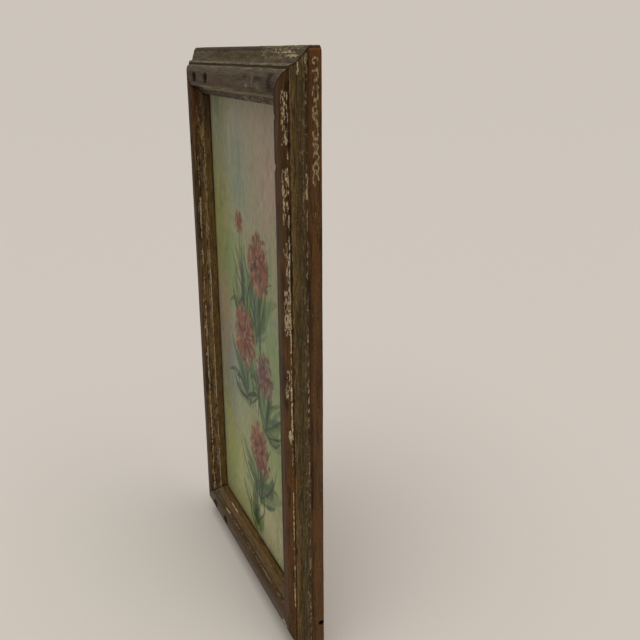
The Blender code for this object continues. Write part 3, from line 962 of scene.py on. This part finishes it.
def blossom(x, y, radius, seed, tones):
    """A full ruffled flower: dabs in rings from the rim inward, over a deep ragged base."""
    dice = np.random.default_rng(seed)
    middle = np.array([x, y])
    petal(middle, dice.uniform(0, tau), 1.05 * radius, 1.00 * radius, tones[1], tones[2], 0.7)
    petal(middle, dice.uniform(0, tau), 0.70 * radius, 0.65 * radius, tones[0], tones[1], 0.8)
    for ring in np.linspace(0.88, 0.0, 7):
        count = round(4 + 13 * ring)
        for turn in range(count):
            angle = tau * (turn + dice.uniform(-0.4, 0.4)) / count + ring * 7
            place = middle + ring * radius * np.array([cos(angle), sin(angle)]) * dice.uniform(0.85, 1.12)
            root, tip = sorted(dice.choice(4, 2, p=RIM_MIX if ring > 0.7 else HEART_MIX))
            petal(
                place,
                angle + (pi / 2 if ring > 0.7 else 0) + dice.uniform(-0.7, 0.7),
                radius * dice.uniform(0.15, 0.27),
                radius * dice.uniform(0.09, 0.17),
                tones[root] * dice.uniform(0.8, 1.15),
                tones[tip] * dice.uniform(0.85, 1.15),
                dice.uniform(0.5, 0.85),
            )
    for _ in range(round(3.5 * radius)):
        angle = dice.uniform(0, tau)
        reach = radius * dice.uniform(0.3, 1.05) * np.array([cos(angle), sin(angle)])
        ruffle = arc_curve(middle + 0.5 * reach, middle + reach, dice.uniform(-1.5, 1.5))
        brush(ruffle, dice.uniform(0.9, 2.0), tones[dice.choice(4, p=RUFFLE_MIX)], dice.uniform(0.3, 0.7))


# Three greens for each layer of blades, their thinnest and broadest in mm, and their least and most cover.
LEAF_LAYERS = (
    ("#1a3016", "#2f4c28", "#23402c", 7.0, 12.0, 0.28, 0.50),
    ("#3a6029", "#4f7438", "#386044", 3.5, 6.5, 0.45, 0.80),
    ("#7a9650", "#86a282", "#5c8348", 2.0, 3.8, 0.35, 0.65),
    ("#0e1a0a", "#182c16", "#243c1c", 1.6, 3.4, 0.55, 0.90),
)


def leaf_fan(x, y, seed, count, spread, longest, heading):
    """Blades that rise from one place: a soft dark mass, green blades, pale ones, and crisp dark ones."""
    dice = np.random.default_rng(seed)
    for *greens, thin, broad, light, strong in LEAF_LAYERS:
        for blade in range(count):
            angle = radians(heading + spread * (blade / (count - 1) - 0.5) + dice.uniform(-12, 12))
            length = longest * dice.uniform(0.35, 1.0)
            end = (x + length * sin(angle), y - length * cos(angle))
            curve = arc_curve((x + dice.uniform(-6, 6), y + dice.uniform(-6, 6)), end, dice.uniform(-9, 9))
            brush(curve, dice.uniform(thin, broad), pigment(greens[blade % 3]), dice.uniform(light, strong))


# The ground's washes, then loose strokes over them, leaves and stems, and the flowers last.
picture[:] = pigment("#9f9f7d")
# The first wash, grey along the top, is also painted a little darker there as the shade under the top rail's
# lip.
wash("#989a86", 0.2, 0.03, 0.5, 0.16, 0.9)
wash("#b39a89", 0.90, 0.16, 0.42, 0.24, 1.0)
wash("#a2a468", 0.06, 0.29, 0.20, 0.12, 1.0)
wash("#86a062", 0.28, 0.36, 0.16, 0.10, 0.8)
wash("#70907f", 0.38, 0.16, 0.10, 0.07, 0.55)
wash("#b09886", 0.06, 0.56, 0.22, 0.14, 0.9)
wash("#869ba2", 0.22, 0.66, 0.14, 0.10, 0.8)
wash("#7c9c62", 0.66, 0.45, 0.30, 0.14, 0.9)
wash("#86a066", 0.70, 0.66, 0.36, 0.16, 0.9)
wash("#b0b678", 0.22, 0.88, 0.50, 0.16, 1.0)
wash("#94a866", 0.85, 0.82, 0.30, 0.12, 0.8)
wash("#c9c49c", 0.72, 0.95, 0.26, 0.08, 0.9)

LOOSE_STROKES = 260
LOOSE_TINTS = ("#c0a08c", "#7d9a64", "#b4b076", "#8c8468", "#a9b48c")
dice = np.random.default_rng(70)
for _ in range(LOOSE_STROKES):
    place = dice.uniform((0, 0), (WIDE, TALL))
    tint = pigment(dice.choice(LOOSE_TINTS))
    reach = dice.uniform(6, 18)
    start = place - (dice.uniform(-3, 3), reach)
    end = place + (dice.uniform(-3, 3), reach)
    curve = arc_curve(start, end, dice.uniform(-2, 2))
    brush(curve, dice.uniform(2.5, 8), tint, dice.uniform(0.10, 0.28))

leaf_fan(84, 150, 1, 8, 80, 68, 4)
leaf_fan(66, 140, 6, 6, 100, 40, -30)
leaf_fan(66, 200, 2, 8, 140, 52, -14)
leaf_fan(96, 208, 3, 8, 120, 54, 30)
leaf_fan(84, 266, 4, 8, 130, 54, 5)
leaf_fan(76, 294, 5, 5, 80, 44, -6)

STEM_GREEN = pigment("#1d3014")
brush(arc_curve((82, 268), (82, 232), 3), 2.6, STEM_GREEN, 0.8)
brush(arc_curve((84, 205), (90, 112), -4), 2.6, STEM_GREEN, 0.8)
brush(arc_curve((80, 205), (56, 82), 6), 2.2, STEM_GREEN, 0.7)

ROSE = [pigment(rose) for rose in ("#3c0d04", "#762d13", "#985035", "#b4896a")]
MAUVE = [pigment(mauve) for mauve in ("#34130f", "#65362e", "#8a6054", "#a98c7c")]
blossom(98, 172, 16, 13, MAUVE)
blossom(92, 100, 20, 12, ROSE)
blossom(60, 156, 22, 14, ROSE)
blossom(84, 230, 20, 15, ROSE)
blossom(56, 80, 8, 16, ROSE)

colours = np.hstack([np.clip(picture, 0, 1), np.ones((len(picture), 1))])
tile_mesh.attributes.new("picture", "FLOAT_COLOR", "POINT").data.foreach_set("color", colours.ravel())
tile_mesh.shade_smooth()
tile_mesh.set_sharp_from_angle(angle=SHARP_ANGLE)
painted_tile = add_object("painted_tile", tile_mesh)

# Glazed porcelain: the eye sees soft, brushy colour under a thin, faintly wavy shine. The shine is held
# low, because at a flat angle a full gloss would hide the colours under the floor's glare.

BRISTLE_MM = 0.7
STROKE_MM = 6.2
GLAZE_WAVE_MM = 11.0

glaze, gloss = new_material("glazed_painted_porcelain")
painted = put(glaze, "ShaderNodeAttribute", attribute_name="picture")
tile_place = put(glaze, "ShaderNodeTexCoord", None, "Object")
stroke_scale = tuple(1 / (size * MM) for size in (BRISTLE_MM, BRISTLE_MM, STROKE_MM))
stroke_place = put(glaze, "ShaderNodeVectorMath", {0: tile_place, 1: stroke_scale}, operation="MULTIPLY")
bristles = put(glaze, "ShaderNodeTexNoise", {"Vector": stroke_place, "Scale": 1.0, "Detail": 2.0})
shaded = {0: 1.0, 6: painted, 7: linear("#d2d2cc")}
darker = put(glaze, "ShaderNodeMix", shaded, 2, data_type="RGBA", blend_type="MULTIPLY")
brushed = coat_over(glaze, painted, darker, bristles, 0.35, 0.75)
wave_scale = 1 / (GLAZE_WAVE_MM * MM)
ripple = put(glaze, "ShaderNodeTexNoise", {"Vector": tile_place, "Scale": wave_scale, "Detail": 2.0})
glaze_wave = put(glaze, "ShaderNodeBump", {"Height": ripple, "Strength": 0.25, "Distance": 0.0004})
glaze_finish = {"Base Color": brushed, "Normal": glaze_wave, "Roughness": 0.22, "Specular IOR Level": 0.06}
set_inputs(glaze, gloss, glaze_finish)
tile_mesh.materials.append(glaze)
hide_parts("tile")
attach(painted_tile, "root")


# Backing panel: a thin board of softwood, planed, left bare and held over the tile's back by the brads. The
# eye sees a dull, dusty brown with upright grain, darker fibres and a few broad stains.

BOARD_BROWN = linear("#6f5536")
PALE_BOARD = linear("#957850")
DARK_FIBRE = linear("#4f3a24")
BOARD_STAIN = linear("#46321d")

bare_board, board = new_material("aged_softwood_board")
board_place = put(bare_board, "ShaderNodeTexCoord", None, "Object")
turned = {"Vector": board_place, "Rotation": (0, radians(90), 0), "Scale": (1 / MM,) * 3}
upright = put(bare_board, "ShaderNodeMapping", turned)
board_grain = grain_noise(bare_board, upright, 110.0, 3.8, 4.0)
board_fibre = grain_noise(bare_board, upright, 17.0, 0.56, 2.0)
board_stain = grain_noise(bare_board, upright, 70.0, 70.0)
plain = coat_over(bare_board, BOARD_BROWN, PALE_BOARD, board_grain, 0.40, 0.60)
plain = coat_over(bare_board, plain, DARK_FIBRE, board_fibre, 0.52, 0.70, 0.8)
plain = coat_over(bare_board, plain, BOARD_STAIN, board_stain, 0.48, 0.62, 0.5)
board_bump = put(bare_board, "ShaderNodeBump", {"Height": board_fibre, "Strength": 0.4, "Distance": 0.0002})
set_inputs(bare_board, board, {"Base Color": plain, "Roughness": 0.85, "Normal": board_bump})
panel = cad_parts["backing_panel"].data
panel.materials.clear()
panel.materials.append(bare_board)


# Brads: short wire nails of drawn steel with flat heads, driven through the panel into the frame. The eye
# sees small grey discs, dull and spotted with brown rust.

RUST_SPOT_MM = 0.7
STEEL_GREY = linear("#8b8780")
RUST_BROWN = linear("#5c3a22")

dull_steel, steel = new_material("dull_steel_wire")
steel_place = put(dull_steel, "ShaderNodeTexCoord", None, "Object")
rust_scale = 1 / (RUST_SPOT_MM * MM)
rust = put(dull_steel, "ShaderNodeTexNoise", {"Vector": steel_place, "Scale": rust_scale, "Detail": 3.0})
rusted = coat_over(dull_steel, STEEL_GREY, RUST_BROWN, rust, 0.45, 0.60)
bare = {"Value": rust, "From Min": 0.45, "From Max": 0.6, "To Min": 1.0, "To Max": 0.0}
metal = put(dull_steel, "ShaderNodeMapRange", bare)
set_inputs(dull_steel, steel, {"Base Color": rusted, "Metallic": metal, "Roughness": 0.5})
for name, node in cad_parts.items():
    if name.startswith("brad_"):
        node.data.materials.clear()
        node.data.materials.append(dull_steel)
